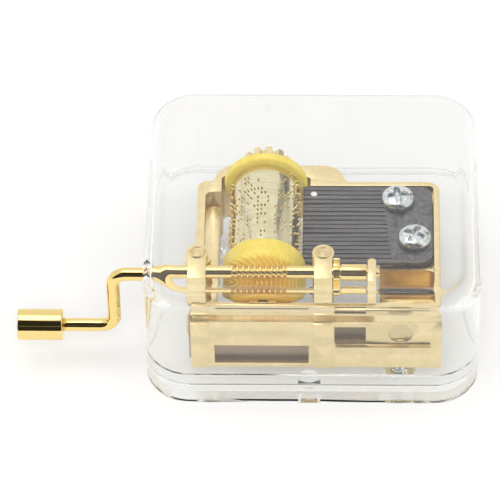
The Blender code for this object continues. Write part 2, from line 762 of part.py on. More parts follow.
def main():
    clear_scene()
    parts = bpy.data.collections.new("hand_crank_music_box")
    cutters = bpy.data.collections.new("cutters")
    bpy.context.scene.collection.children.link(parts)
    bpy.context.scene.collection.children.link(cutters)
    cutters.hide_render = True
    case_cover(parts, cutters)
    case_tray(parts, cutters)
    tray_screws(parts, cutters)
    movement_base(parts, cutters)
    comb(parts, cutters)
    comb_weights(parts)
    comb_screws(parts, cutters)
    on_arbor = (BARREL_X, 0.0, AXIS_Z)
    barrel(parts, on_arbor)
    arbor(parts, on_arbor)
    worm_wheel(parts, on_arbor)
    rear_flange(parts, on_arbor)
    rear_hub(parts, on_arbor)
    on_shaft = (0.0, SHAFT_Y, SHAFT_Z)
    crank_rod(parts, on_shaft)
    crank_knob(parts)
    knob_cap(parts)
    shaft_collar(parts, on_shaft)
    shaft_sleeve(parts, on_shaft)


main()
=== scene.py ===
"""The looks of a hand crank music box: a clear case round a gold movement with a comb and a yellow wheel.

Sizes are in millimetres in the text and turned into metres when each mesh is made. +X is to the right,
+Y to the back and +Z up, and every piece lies where its solid lies.
"""

import math

import bmesh
import bpy
import numpy as np
from mathutils import Matrix, Vector


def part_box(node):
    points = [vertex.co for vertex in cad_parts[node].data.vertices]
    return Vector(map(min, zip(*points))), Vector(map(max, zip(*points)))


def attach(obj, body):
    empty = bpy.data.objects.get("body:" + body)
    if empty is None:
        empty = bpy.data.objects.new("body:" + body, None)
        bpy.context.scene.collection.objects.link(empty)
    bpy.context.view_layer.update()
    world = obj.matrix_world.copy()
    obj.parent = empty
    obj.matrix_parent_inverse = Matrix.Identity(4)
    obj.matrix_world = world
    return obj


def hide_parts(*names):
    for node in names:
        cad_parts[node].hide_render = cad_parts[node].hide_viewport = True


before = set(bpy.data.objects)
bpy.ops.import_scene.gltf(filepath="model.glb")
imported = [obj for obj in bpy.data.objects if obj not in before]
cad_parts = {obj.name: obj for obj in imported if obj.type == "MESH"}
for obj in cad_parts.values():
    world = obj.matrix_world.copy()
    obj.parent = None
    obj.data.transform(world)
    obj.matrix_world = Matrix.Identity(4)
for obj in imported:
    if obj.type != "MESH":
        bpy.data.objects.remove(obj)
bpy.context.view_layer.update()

MM = 0.001

# Case
CASE_W, CASE_D, CASE_H = 60.0, 53.0, 28.0
CORNER_R, TOP_EDGE_R, INNER_EDGE_R = 8.2, 4.4, 1.8
WALL, FLOOR, SEAM_Z, LIP_H, LIP_T, FIT = 1.6, 1.6, 5.0, 2.2, 0.65, 0.2
BOSSES = ((-19.3, 7.5), (15.8, -16.9), (19.4, 4.2))
BOSS_R, BOSS_TOP = 2.9, 4.1
GATE_X, GATE_Y, GATE_R = -0.5, -22.0, 2.1

# Cylinder
AXLE_X, AXLE_Z = -8.8, 15.0
BARREL_R, BARREL_WALL, BARREL_Y0, BARREL_Y1 = 6.3, 0.5, -6.8, 12.1
PINS, PIN_GROUPS, PIN_STEP, PIN_RISE = 430, 62, 0.105, 0.36
WHEEL_R, WHEEL_TEETH, WHEEL_BACK = 7.5, 36, -7.0
FLUTE_DEPTH, BEVEL_AHEAD = 0.70, 1.2
WELL_R, WELL_DEPTH, BORE_R = 5.6, 2.0, 0.85
FLANGE_R, FLANGE_Y0, FLANGE_T = 7.7, 12.3, 1.7
HUB_R, HUB_Y0, HUB_LEN = 4.6, 14.2, 4.2
AXLE_R = 0.65

# Worm and crank
ROD_R, WORM_PITCH, WORM_TURNS, WORM_DEPTH = 1.2, 1.02, 10, 0.45
BEVEL = math.radians(30.0)
PITCH_R = WHEEL_TEETH * WORM_PITCH / (2 * math.pi)
CONTACT = 0.96
SHAFT_Y = -14.7
SHAFT_Z = AXLE_Z + PITCH_R + CONTACT * math.cos(BEVEL)
CONTACT_Y = SHAFT_Y + CONTACT * math.sin(BEVEL)
WORM_X = AXLE_X - 0.6
ARM_X, ARM_LEN, BEND_R = -35.6, 13.8, 2.6
KNOB_R, KNOB_LEN, KNOB_X0 = 2.85, 8.2, -53.2
KNOB_Z = SHAFT_Z - ARM_LEN
CAP_R, CAP_DEPTH = 1.9, 1.1
COLLAR_R, COLLAR_X0, COLLAR_W = 2.55, 3.75, 1.2
SLEEVE_X0, SLEEVE_X1 = 5.15, 9.65
TIP_X = 11.95

# Base and comb
POST_TOP, EYE_Y, RIVET_R = 23.6, -11.7, 1.5
LEFT_POST_X, RIGHT_POST_X = -20.5, 1.95
COMB_X0, COMB_Y0, COMB_Y1 = -1.9, -6.9, 12.1
COMB_TOP, COMB_SEAT, COMB_TEETH = 15.6, 13.9, 18
TOOTH_PITCH = (COMB_Y1 - COMB_Y0) / COMB_TEETH
COMB_SCREWS = {"back": (15.4, 8.4), "front": (18.4, -1.3)}
SCREW_HEAD_R, SCREW_SHANK_R = 3.0, 1.4
TRAY_HEAD_R, TRAY_SHANK_R = 2.1, 0.95


# ---------------------------------------------------------------- finishes

# A Light Path node's outputs, by number
CAMERA_RAY, SHADOW_RAY, DIFFUSE_RAY, GLOSSY_RAY, MIRROR_RAY = 0, 1, 2, 3, 4
THROUGH_RAY, THROUGH_DEPTH = 6, 13


class Wire:
    """A socket among a finish's nodes. A sum written on wires adds its Math nodes."""

    def __init__(self, finish, socket):
        self.finish, self.socket = finish, socket

    def sum(self, operation, *values):
        return self.finish.node("Math", {"operation": operation}, values)

    def __add__(self, other):
        return self.sum("ADD", self, other)

    def __sub__(self, other):
        return self.sum("SUBTRACT", self, other)

    def __rsub__(self, other):
        return self.sum("SUBTRACT", other, self)

    def __mul__(self, other):
        return self.sum("MULTIPLY", self, other)

    def __truediv__(self, other):
        return self.sum("DIVIDE", self, other)

    def __abs__(self):
        return self.sum("ABSOLUTE", self)

    def __mod__(self, other):
        return self.sum("FLOORED_MODULO", self, other)

    def __gt__(self, other):
        return self.sum("GREATER_THAN", self, other)

    __radd__, __rmul__ = __add__, __mul__


class Finish:
    """The nodes of one material, or of the studio's light."""

    def __init__(self, tree):
        self.tree = tree

    def node(self, kind, settings=None, sockets=(), out=0):
        """Adds a node: its settings first, then the values or wires of its sockets by number or name."""
        made = self.tree.nodes.new("ShaderNode" + kind)
        for key, value in (settings or {}).items():
            setattr(made, key, value)
        listed = sockets.items() if isinstance(sockets, dict) else enumerate(sockets)
        for key, value in listed:
            if isinstance(value, Wire):
                self.tree.links.new(value.socket, made.inputs[key])
            else:
                made.inputs[key].default_value = value
        return Wire(self, made.outputs[out])

    def place(self, scale=(1.0, 1.0, 1.0)):
        """Object coordinates in millimetres, stretched."""
        spot = self.node("TexCoord", out=3)
        return self.node("Mapping", {}, {0: spot, 3: tuple(s / MM for s in scale)})

    def axis(self, which):
        """One coordinate in millimetres."""
        return self.node("SeparateXYZ", {}, [self.place()], "XYZ".index(which))

    def noise(self, spot, scale, detail=3.0, rough=0.55):
        """Soft noise of 0 to 1 with this many waves to the millimetre."""
        sockets = {"Vector": spot, "Scale": scale, "Detail": detail, "Roughness": rough}
        return self.node("TexNoise", {}, sockets)

    def step(self, value, low, high):
        """0 below low and 1 above high, with a smooth rise between."""
        return self.node("MapRange", {"interpolation_type": "SMOOTHSTEP"}, {0: value, 1: low, 2: high})

    def blend(self, share, first, second):
        """A mix of two colours."""
        return self.node("Mix", {"data_type": "RGBA"}, {0: share, 6: rgba(first), 7: rgba(second)}, 2)

    def bump(self, height, depth, strength):
        """A normal from a height of 0 to 1, whose full rise is the depth in millimetres."""
        return self.node("Bump", {}, {"Strength": strength, "Distance": depth * MM, "Height": height})


def rgba(colour):
    """A colour as a socket takes it; a wire stays as it is."""
    return colour if isinstance(colour, Wire) else (*colour, 1.0)


def finish_of(name):
    """A new material, its nodes to work on and its Principled shader."""
    made = bpy.data.materials.new(name)
    made.use_nodes = True
    return made, Finish(made.node_tree), made.node_tree.nodes["Principled BSDF"]


def set_up(shader, finish, **sockets):
    """Sets or links the shader's sockets, named with _ for a space."""
    for key, value in sockets.items():
        socket = shader.inputs[key.replace("_", " ")]
        if isinstance(value, Wire):
            finish.tree.links.new(value.socket, socket)
        else:
            socket.default_value = (*value, 1.0) if isinstance(value, tuple) else value


def clear_acrylic(name, tint, ior):
    """Clear moulded acrylic that bends what is seen through it.

    For diffuse rays and then for shadow rays it is plainly transparent, so that the lamps' light gets in.
    """
    made, f, shader = finish_of(name)
    ripple = f.noise(f.place((0.05, 0.05, 0.05)), 1.0, 1.0)
    set_up(shader, f, Base_Color=tint, Roughness=0.0, IOR=ior, Transmission_Weight=1.0)
    set_up(shader, f, Normal=f.bump(ripple, 0.35, 0.10))
    clear = f.node("BsdfTransparent", {}, [(0.955, 0.955, 0.95, 1.0)])
    both = Wire(f, shader.outputs[0])
    for ray in (DIFFUSE_RAY, SHADOW_RAY):
        both = f.node("MixShader", {}, [f.node("LightPath", out=ray), both, clear])
    f.tree.links.new(both.socket, f.tree.nodes["Material Output"].inputs[0])
    return made


def cast_gold(name="cast_gold"):
    """Satin gold plating on a die casting: fine grain, faint flow marks, and painted shade in the rougher
    front recess.
    """
    made, f, shader = finish_of(name)
    grain = f.noise(f.place(), 9.0, 5.0, 0.7)
    cloud = f.noise(f.place(), 0.35, 3.0)
    flow = f.noise(f.place((0.25, 1.0, 1.4)), 1.2, 4.0, 0.6)
    # sunk marks the front recess, where painted shade darkens the gold and the finish is rougher
    sunk = f.step(f.axis("Y"), -18.9, -18.2) * f.step(-17.3 - f.axis("Y"), 0.0, 0.25)
    sunk = sunk * f.step(15.0 - f.axis("Z"), 0.0, 0.3)
    tone = f.blend(f.step(cloud, 0.35, 0.7), (0.88, 0.70, 0.36), (0.95, 0.78, 0.44))
    tone = f.blend(f.step(flow, 0.45, 0.75) * 0.3, tone, (0.96, 0.84, 0.58))
    # painted shade in the front recess
    tone = f.blend(sunk * 0.9, tone, (0.50, 0.38, 0.27))
    rough = 0.22 + 0.12 * f.step(grain, 0.3, 0.7) + 0.2 * sunk
    height = 0.25 * grain + 0.75 * flow
    set_up(shader, f, Base_Color=tone, Metallic=1.0, Roughness=rough, Normal=f.bump(height, 0.03, 0.5))
    return made


def rivet_gold():
    """The casting's gold, a little browner where the head lies low and dark brown in the dent."""
    made, f, shader = finish_of("rivet_gold")
    deep = f.step(POST_TOP - 0.02 - f.axis("Z"), 0.0, 0.12)
    edge = f.step(0.10 - abs(f.axis("Z") - POST_TOP - 0.02), 0.0, 0.06)
    tone = f.blend(edge * 0.35, (0.88, 0.68, 0.35), (0.55, 0.40, 0.20))
    tone = f.blend(deep, tone, (0.30, 0.17, 0.08))
    set_up(shader, f, Base_Color=tone, Metallic=1.0, Roughness=0.28 + 0.2 * deep)
    return made


def polished_gold(name, tone, rough=0.05):
    """Bright gold plating with a few soft smears."""
    made, f, shader = finish_of(name)
    smear = f.noise(f.place((0.5, 1.0, 1.0)), 0.9, 3.0)
    fine = f.noise(f.place(), 14.0, 2.0)
    hue = f.blend(f.step(smear, 0.4, 0.7) * 0.5, tone, tuple(min(1.0, 1.05 * c) for c in tone))
    set_up(shader, f, Base_Color=hue, Metallic=1.0, Roughness=rough + 0.06 * f.step(smear, 0.45, 0.8))
    set_up(shader, f, Normal=f.bump(fine, 0.004, 0.35))
    return made


def barrel_brass():
    """Pale polished brass with turning lines round it."""
    made, f, shader = finish_of("barrel_brass")
    along = f.axis("Y")
    line = abs(along / 0.36 % 1.0 - 0.5) * 2.0
    drift = f.noise(f.place((0.2, 2.6, 0.2)), 1.0, 3.0)
    tone = f.blend(f.step(drift, 0.35, 0.7), (0.74, 0.66, 0.41), (0.86, 0.79, 0.54))
    tone = f.blend(f.step(line, 0.72, 0.95) * 0.4, tone, (0.46, 0.39, 0.19))
    height = 0.7 * f.step(line, 0.6, 1.0) + 0.3 * drift
    set_up(shader, f, Base_Color=tone, Metallic=1.0, Roughness=0.07 + 0.07 * drift)
    set_up(shader, f, Normal=f.bump(1.0 - height, 0.012, 0.5))
    return made


def comb_steel():
    """Dark hardened steel with drawn streaks along the teeth and a mottled heel."""
    made, f, shader = finish_of("comb_steel")
    streak = f.noise(f.place((0.10, 5.5, 1.0)), 1.0, 5.0, 0.75)
    fine = f.noise(f.place((0.35, 16.0, 1.0)), 1.0, 3.0, 0.6)
    mottle = f.noise(f.place(), 1.1, 4.0, 0.65)
    heel = f.step(f.axis("X"), 12.5, 15.0)
    mark = f.blend(heel, *(f.node("CombineXYZ", {}, [grey] * 3) for grey in (streak, mottle)))
    shade = f.node("SeparateXYZ", {}, [mark], 0)
    tone = f.blend(f.step(shade, 0.32, 0.68), (0.09, 0.085, 0.09), (0.22, 0.21, 0.21))
    tone = f.blend(f.step(fine, 0.60, 0.78) * 0.4, tone, (0.30, 0.29, 0.30))
    rough = 0.34 + 0.18 * f.step(mottle, 0.3, 0.7)
    set_up(shader, f, Base_Color=tone, Metallic=0.85, Roughness=rough)
    set_up(shader, f, Normal=f.bump(0.5 * streak + 0.5 * fine, 0.02, 0.5))
    return made


def zinc(name="bright_zinc"):
    """Bright zinc plating, cool and slightly cloudy."""
    made, f, shader = finish_of(name)
    cloud = f.noise(f.place(), 1.6, 4.0, 0.6)
    tone = f.blend(f.step(cloud, 0.35, 0.7), (0.60, 0.63, 0.65), (0.86, 0.89, 0.90))
    set_up(shader, f, Base_Color=tone, Metallic=1.0, Roughness=0.14 + 0.14 * f.step(cloud, 0.3, 0.75))
    set_up(shader, f, Normal=f.bump(f.noise(f.place(), 6.0, 3.0), 0.012, 0.5))
    return made


def plain_steel(name, tone, rough):
    """Plain metal with faint lines across Y."""
    made, f, shader = finish_of(name)
    turned = f.noise(f.place((1.0, 9.0, 1.0)), 1.0, 3.0)
    hue = f.blend(turned, tuple(0.75 * c for c in tone), tone)
    set_up(shader, f, Base_Color=hue, Metallic=1.0, Roughness=rough + 0.12 * turned)
    set_up(shader, f, Normal=f.bump(turned, 0.01, 0.4))
    return made


def dull_lead():
    """Grey oxidised lead."""
    made, f, shader = finish_of("dull_lead")
    cloud = f.noise(f.place(), 2.5, 4.0)
    set_up(shader, f, Base_Color=f.blend(cloud, (0.13, 0.13, 0.14), (0.30, 0.30, 0.32)), Metallic=0.8)
    set_up(shader, f, Roughness=0.45 + 0.2 * cloud, Normal=f.bump(cloud, 0.05, 0.6))
    return made


def yellow_plastic():
    """Moulded yellow plastic with painted amber shade in the flutes and towards the wheel's front.

    A flute's depth is the bevel's radius at that place along the arbor less the point's own radius.
    """
    made, f, shader = finish_of("yellow_plastic")
    cloud = f.noise(f.place(), 0.5, 3.0)
    fine = f.noise(f.place(), 5.0, 4.0)
    x, y, z = (f.axis(letter) for letter in "XYZ")
    across = f.node("CombineXYZ", {}, [x - AXLE_X, 0.0, z - AXLE_Z])
    own = f.node("VectorMath", {"operation": "LENGTH"}, [across], 1)
    bevel = PITCH_R + (y - CONTACT_Y) * math.tan(BEVEL)
    deep = f.step(bevel - own, 0.10, 0.50) * f.step(-11.0 - y, 0.0, 0.5)
    front_painted_shade = f.step(-12.6 - y, 0.0, 2.4)
    tone = f.blend(f.step(cloud, 0.35, 0.7), (0.92, 0.70, 0.09), (0.97, 0.79, 0.13))
    # painted amber shade towards the wheel's front
    tone = f.blend(front_painted_shade * 0.55, tone, (0.88, 0.48, 0.04))
    # painted amber shade in the flutes' hollows
    tone = f.blend(deep * 0.5, tone, (0.74, 0.38, 0.03))
    set_up(shader, f, Base_Color=tone, Roughness=0.30 + 0.12 * fine, IOR=1.5)
    set_up(shader, f, Subsurface_Weight=0.2, Subsurface_Scale=0.001, Normal=f.bump(fine, 0.02, 0.35))
    return made


def white_paint():
    """Plain white for a small dot."""
    made, f, shader = finish_of("white_paint")
    cloud = f.noise(f.place(), 3.0, 2.0)
    set_up(shader, f, Base_Color=f.blend(cloud, (0.93, 0.93, 0.92), (1.0, 1.0, 1.0)), Roughness=0.4)
    return made


# ---------------------------------------------------------------- shapes


def grid_faces(rows, columns, wrap):
    """Quads between the points of a grid whose columns go round, its rows too if it wraps."""
    r = np.arange(rows if wrap else rows - 1)[:, None]
    c = np.arange(columns)[None, :]
    after, beside = (r + 1) % rows * columns, (c + 1) % columns
    here = r * columns
    return np.stack([here + c, here + beside, after + beside, after + c], -1).reshape(-1, 4)


def shell(rings, wrap=False):
    """A closed skin through rings of equal count: (points, quads, two end faces unless it wraps round)."""
    rings = np.asarray(rings, float)
    rows, columns = rings.shape[:2]
    ends = [] if wrap else [np.arange(columns)[::-1], np.arange(columns) + (rows - 1) * columns]
    return rings.reshape(-1, 3), grid_faces(rows, columns, wrap), ends


def many(one, places):
    """Copies of one skin, its points turned and moved by a stack of (matrix, shift) pairs at once."""
    points, quads, ends = one
    turns, shifts = places
    moved = np.einsum("kij,pj->kpi", turns, points) + shifts[:, None, :]
    start = (np.arange(len(turns)) * len(points))[:, None, None]
    faces = (quads[None] + start).reshape(-1, 4)
    caps = [list(cap + first) for first in start[:, 0, 0] for cap in ends]
    return moved.reshape(-1, 3), faces, caps


def linked(name, data):
    """A new object in the scene."""
    obj = bpy.data.objects.new(name, data)
    bpy.context.scene.collection.objects.link(obj)
    return obj


def mesh_of(name, skins):
    """One mesh from skins in millimetres, its faces turned outwards."""
    points, faces, start = [], [], 0
    for skin, quads, ends in skins:
        points.append(skin)
        faces += (quads + start).tolist() + [(np.asarray(cap) + start).tolist() for cap in ends]
        start += len(skin)
    mesh = bpy.data.meshes.new(name)
    mesh.from_pydata((np.concatenate(points) * MM).tolist(), [], faces)
    work = bmesh.new()
    work.from_mesh(mesh)
    bmesh.ops.recalc_face_normals(work, faces=work.faces)
    work.to_mesh(mesh)
    work.free()
    return mesh


def finish_mesh(name, mesh, look, body, smooth=35.0):
    """An object in one finish, sharp past the angle in degrees, that rides on a body."""
    mesh.materials.clear()
    mesh.materials.append(look)
    mesh.shade_smooth()
    mesh.set_sharp_from_angle(angle=math.radians(smooth))
    obj = linked(name, mesh)
    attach(obj, body)
    return obj


def make(name, skins, look, body, smooth=35.0):
    """One object from skins in millimetres."""
    return finish_mesh(name, mesh_of(name, skins), look, body, smooth)


def stand_for(obj, node):
    """Hides a node's solid, for the object to stand in its place. The object itself is not used here."""
    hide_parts(node)


def eased(corners, radius, steps=4, loop=False):
    """A path with each corner eased by a curve that starts and ends the radius away from it.

    The curve is (1-t)^2 start + 2t(1-t) corner + t^2 end, and no start is past the middle of its side.
    """
    p = np.asarray(corners, float)
    before, after = np.roll(p, 1, 0), np.roll(p, -1, 0)
    r = np.broadcast_to(np.asarray(radius, float), len(p))[:, None]

    def towards(other):
        side = other - p
        length = np.maximum(np.linalg.norm(side, axis=1, keepdims=True), 1e-9)
        return p + side / length * np.minimum(r, 0.49 * length)

    t = np.linspace(0, 1, steps + 1)[None, :, None]
    start, end = towards(before)[:, None], towards(after)[:, None]
    curve = (1 - t) ** 2 * start + 2 * t * (1 - t) * p[:, None] + t**2 * end
    if loop:
        return curve.reshape(-1, p.shape[1])
    return np.concatenate([p[:1], curve[1:-1].reshape(-1, p.shape[1]), p[-1:]])


def turned(profile, axis, centre, around=96, wrap=False):
    """A profile of (place along, radius) turned about an axis: along, radius cos a, radius sin a."""
    profile = np.asarray(profile, float)
    a = np.arange(around) * 2 * math.pi / around
    along = np.repeat(profile[:, :1], around, 1)
    c, s = profile[:, 1:] * np.cos(a), profile[:, 1:] * np.sin(a)
    order = {"X": (along, c, s), "Y": (s, along, c), "Z": (c, s, along)}[axis]
    return shell(np.stack(order, -1) + np.asarray(centre, float), wrap)


def cylinder(axis, centre, start, end, radius, around=64, edge=0.1):
    """A round bar along an axis, its two rims eased."""
    profile = [(start, 0.02), (start, radius), (end, radius), (end, 0.02)]
    return turned(eased(profile, edge, 3), axis, centre, around)


def block(x0, x1, y0, y1, z0, z1, edge=0.15):
    """A box with eased upright corners and eased top and bottom edges."""
    plan = eased([(x0, y0), (x1, y0), (x1, y1), (x0, y1)], edge, 3, loop=True)
    middle = np.array([(x0 + x1) / 2, (y0 + y1) / 2])
    half = np.array([(x1 - x0) / 2, (y1 - y0) / 2])
    levels = eased([(0, z0), (1, z0), (1, z1), (0, z1)], edge, 3)
    side = (plan - middle) / half
    inset = np.clip(levels[:, 0], 0.02, 1)
    rings = middle + side[None] * half * inset[:, None, None]
    return shell(np.concatenate([rings, np.repeat(levels[:, 1:], len(plan), 1)[..., None]], -1))


def castellated(start, end, outer, teeth, bore, centre, axis):
    """A ring with square teeth: the rim falls by a fifth between teeth, with short flanks.

    A tooth's rim is given by shares of its pitch and by how much of the outer radius is left there.
    """
    share = np.array([0.0, 0.03, 0.25, 0.47, 0.50, 0.56, 0.60, 0.75, 0.90, 0.94])
    fall = np.array([0.97, 1.0, 1.0, 1.0, 0.97, 0.83, 0.8, 0.8, 0.8, 0.83])
    angle = ((np.arange(teeth)[:, None] + share) * 2 * math.pi / teeth).ravel()
    rim = outer * np.tile(fall, teeth)
    edge = 0.12
    levels = [(start, 0.0), (start, 1.0), (end, 1.0), (end, 0.0)]
    levels = eased(levels, edge / (outer - bore), 3)
    levels[:, 0] = np.clip(levels[:, 0], start, end)
    place = np.repeat(levels[:, :1], len(angle), 1)
    radius = bore + (rim - bore)[None] * levels[:, 1:]
    c, s = radius * np.cos(angle), radius * np.sin(angle)
    order = {"X": (place, c, s), "Y": (s, place, c)}[axis]
    return shell(np.stack(order, -1) + np.asarray(centre, float), wrap=True)


def apply_modifiers(obj, name):
    """The object's mesh with its modifiers worked out; the object goes."""
    bpy.context.view_layer.update()
    graph = bpy.context.evaluated_depsgraph_get()
    mesh = bpy.data.meshes.new_from_object(obj.evaluated_get(graph))
    mesh.name = name
    bpy.data.objects.remove(obj)
    return mesh


def carved(name, base, changes):
    """A skin with others cut from it or joined to it in turn: (DIFFERENCE or UNION, skin)."""
    obj = linked(name + "_block", mesh_of(name + "_block", [base]))
    helpers = []
    for k, (operation, skin) in enumerate(changes):
        helper = linked(f"{name}_{k}", mesh_of(f"{name}_{k}", [skin]))
        change = obj.modifiers.new(str(k), "BOOLEAN")
        change.operation, change.solver, change.object = operation, "EXACT", helper
        helpers.append(helper)
    mesh = apply_modifiers(obj, name)
    for helper in helpers:
        bpy.data.objects.remove(helper)
    return mesh


def softened(node, name, width, angle=38.0, bend=None):
    """A copy of a node's solid, its points merged and its edges rounded.

    The bend, if any, takes the points in metres as an array and returns them moved, before the rounding.
    """
    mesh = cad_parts[node].data.copy()
    work = bmesh.new()
    work.from_mesh(mesh)
    bmesh.ops.remove_doubles(work, verts=work.verts, dist=2e-6)
    bmesh.ops.dissolve_limit(work, angle_limit=math.radians(1.0), verts=work.verts, edges=work.edges)
    work.to_mesh(mesh)
    work.free()
    if bend:
        points = np.empty(3 * len(mesh.vertices), np.float32)
        mesh.vertices.foreach_get("co", points)
        points = bend(points.reshape(-1, 3).astype(float)).astype(np.float32)
        mesh.vertices.foreach_set("co", points.ravel())
        mesh.update()
    obj = linked(name + "_copy", mesh)
    bevel = obj.modifiers.new("edges", "BEVEL")
    bevel.width, bevel.segments = width * MM, 2
    bevel.limit_method, bevel.angle_limit = "ANGLE", math.radians(angle)
    bevel.use_clamp_overlap = True
    return apply_modifiers(obj, name)


# ---------------------------------------------------------------- case


def case_ring(inset, z, steps=20):
    """The case's plan at a height: straight sides and quarter-round corners, drawn in by the inset."""
    radius = max(CORNER_R - inset, 0.4)
    a = (np.arange(4)[:, None] + np.linspace(0, 1, steps + 1)[None]) * math.pi / 2
    sx = np.array([1, -1, -1, 1])[:, None] * (CASE_W / 2 - inset - radius)
    sy = np.array([1, 1, -1, -1])[:, None] * (CASE_D / 2 - inset - radius)
    x, y = (sx + radius * np.cos(a)).ravel(), (sy + radius * np.sin(a)).ravel()
    return np.stack([x, y, np.full(x.shape, z)], -1)


def case_rings(levels):
    """The case's plan at each (inset, height)."""
    return [case_ring(inset, z) for inset, z in levels]


def cover():
    """The cover: an outer skin whose top edge is a quarter round, and an inner one with a tighter edge.

    Its rim is cut back inside for the tray's lip, and its left wall has the crank's hole.
    """
    a = np.linspace(math.pi / 2, 0, 15)
    outer = np.stack([TOP_EDGE_R * (1 - np.cos(a)), CASE_H - TOP_EDGE_R * (1 - np.sin(a))], -1)
    rabbet, rabbet_top = WALL - LIP_T - FIT, SEAM_Z + LIP_H + FIT + 0.1
    foot = [(0, SEAM_Z + FIT), (rabbet, SEAM_Z + FIT), (rabbet, rabbet_top), (WALL, rabbet_top)]
    b = np.linspace(0, math.pi / 2, 9)
    inside = [WALL + INNER_EDGE_R * (1 - np.cos(b)), CASE_H - WALL - INNER_EDGE_R * (1 - np.sin(b))]
    corners = [(0, CASE_H - TOP_EDGE_R), *foot, (WALL, CASE_H - WALL - INNER_EDGE_R)]
    levels = np.concatenate([outer, eased(corners, 0.12, 3)[1:-1], np.stack(inside, -1)])
    hole = cylinder("X", (0, SHAFT_Y, SHAFT_Z), -CASE_W / 2 - 2, -CASE_W / 2 + 4, ROD_R + 0.6, 48)
    mesh = carved("clear_cover", shell(case_rings(levels)), [("DIFFERENCE", hole)])
    stand_for(finish_mesh("clear_cover", mesh, LOOK["cover"], "base", 30.0), "case_cover")


def tray():
    """The tray: a foot with eased edges, a lip inside the cover, three screw bosses and the gate boss."""
    lip_top = SEAM_Z + LIP_H
    lip_in = WALL - LIP_T
    path = [(2.0, 0.0), (0.25, 0.0), (0.0, 0.5), (0.0, SEAM_Z), (lip_in, SEAM_Z), (lip_in, lip_top)]
    path += [(WALL, lip_top), (WALL, FLOOR + 0.8), (WALL + 0.8, FLOOR), (WALL + 3.0, FLOOR)]
    base = shell(case_rings(eased(path, 0.14, 3)))
    changes = []
    for x, y in BOSSES:
        changes.append(("UNION", cylinder("Z", (x, y, 0), FLOOR - 0.6, BOSS_TOP, BOSS_R, 48, 0.2)))
    for x, y in BOSSES:
        changes.append(("DIFFERENCE", cylinder("Z", (x, y, 0), -1.0, 1.5, TRAY_HEAD_R + FIT, 40, 0.01)))
        changes.append(("DIFFERENCE", cylinder("Z", (x, y, 0), 0.5, 6.0, TRAY_SHANK_R + FIT, 32, 0.01)))
    gate = cylinder("Z", (GATE_X, GATE_Y, 0), FLOOR - 0.6, SEAM_Z - 0.6, GATE_R, 48, 0.3)
    mesh = carved("clear_tray", base, [*changes, ("UNION", gate)])
    stand_for(finish_mesh("clear_tray", mesh, LOOK["tray"], "base", 30.0), "case_tray")


# ---------------------------------------------------------------- base


def rivet_head(x, y, z, radius, dent):
    """A disc with a raised ring and an off-centre dent.

    Height over the disc: 0.20 exp(-((r - 0.8R)/0.13R)^2) for the ring less 0.55 exp(-(d/0.26R)^4) for the
    dent, where d is the distance from the dent's middle. The rim is a little lower.
    """
    r = radius * np.linspace(0, 1, 26)[::-1][:, None]
    a = np.linspace(0, 2 * math.pi, 64, endpoint=False)[None]
    px, py = r * np.cos(a), r * np.sin(a)
    ring = np.exp(-(((r - 0.8 * radius) / (0.13 * radius)) ** 2)) * np.ones_like(a)
    away = np.hypot(px - dent[0], py - dent[1]) / (0.26 * radius)
    height = 0.05 + 0.20 * ring - 0.55 * np.exp(-(away**4)) - 0.08 * (r / radius > 0.99)
    top = np.stack([x + px, y + py, z + height], -1)[:-1]
    low = top[:1] * [1, 1, 0] + [0, 0, z - 0.15]
    return shell(np.concatenate([low, top]))


def casting():
    """The die-cast base with rounded edges, and the rivet heads on its two uprights."""
    mesh = softened("movement_base", "gold_casting", 0.2)
    stand_for(finish_mesh("gold_casting", mesh, LOOK["cast"], "base", 40.0), "movement_base")
    for name, x in (("left", LEFT_POST_X), ("right", RIGHT_POST_X)):
        head = rivet_head(x, EYE_Y, POST_TOP, RIVET_R, (-0.1, -0.5))
        make(f"{name}_rivet_head", [head], LOOK["rivet"], "base")


# ---------------------------------------------------------------- comb


def comb():
    """The comb, its teeth bent a little up or down and sideways at their tips.

    A small white dot lies on it, and under each tip a short wire stands for the tooth's damper.
    """
    chance = np.random.default_rng(11)
    lift = chance.normal(0, 0.05, COMB_TEETH)
    lift[[6, 10, 13]] -= (0.22, 0.10, 0.18)
    lean = chance.normal(0, 0.025, COMB_TEETH)

    def bend(points):
        x, y, z = points.T
        tip = x / MM < COMB_X0 + 0.1
        tooth = np.clip(((y / MM - COMB_Y0) / TOOTH_PITCH).astype(int), 0, COMB_TEETH - 1)
        return np.stack([x, y + tip * lean[tooth] * MM, z + tip * lift[tooth] * MM], -1)

    mesh = softened("comb", "steel_comb", 0.08, 30.0, bend)
    stand_for(finish_mesh("steel_comb", mesh, LOOK["comb"], "base"), "comb")
    profile = eased([(0.0, 0.02), (0.0, 0.62), (0.07, 0.55), (0.07, 0.02)], 0.05, 3)
    make("comb_paint_dot", [turned(profile, "Z", (0.05, 10.2, COMB_TOP), 40)], LOOK["speck"], "base")
    y = COMB_Y0 + (np.arange(COMB_TEETH) + 0.5) * TOOTH_PITCH
    wire = cylinder("X", (0, 0, COMB_TOP - 0.95), COMB_X0 - 0.14, COMB_X0 + 0.9, 0.12, 8, 0.03)
    places = np.repeat(np.eye(3)[None], len(y), 0), np.stack([0 * y, y, 0 * y], -1)
    make("damper_wires", [many(wire, places)], LOOK["copper"], "base")


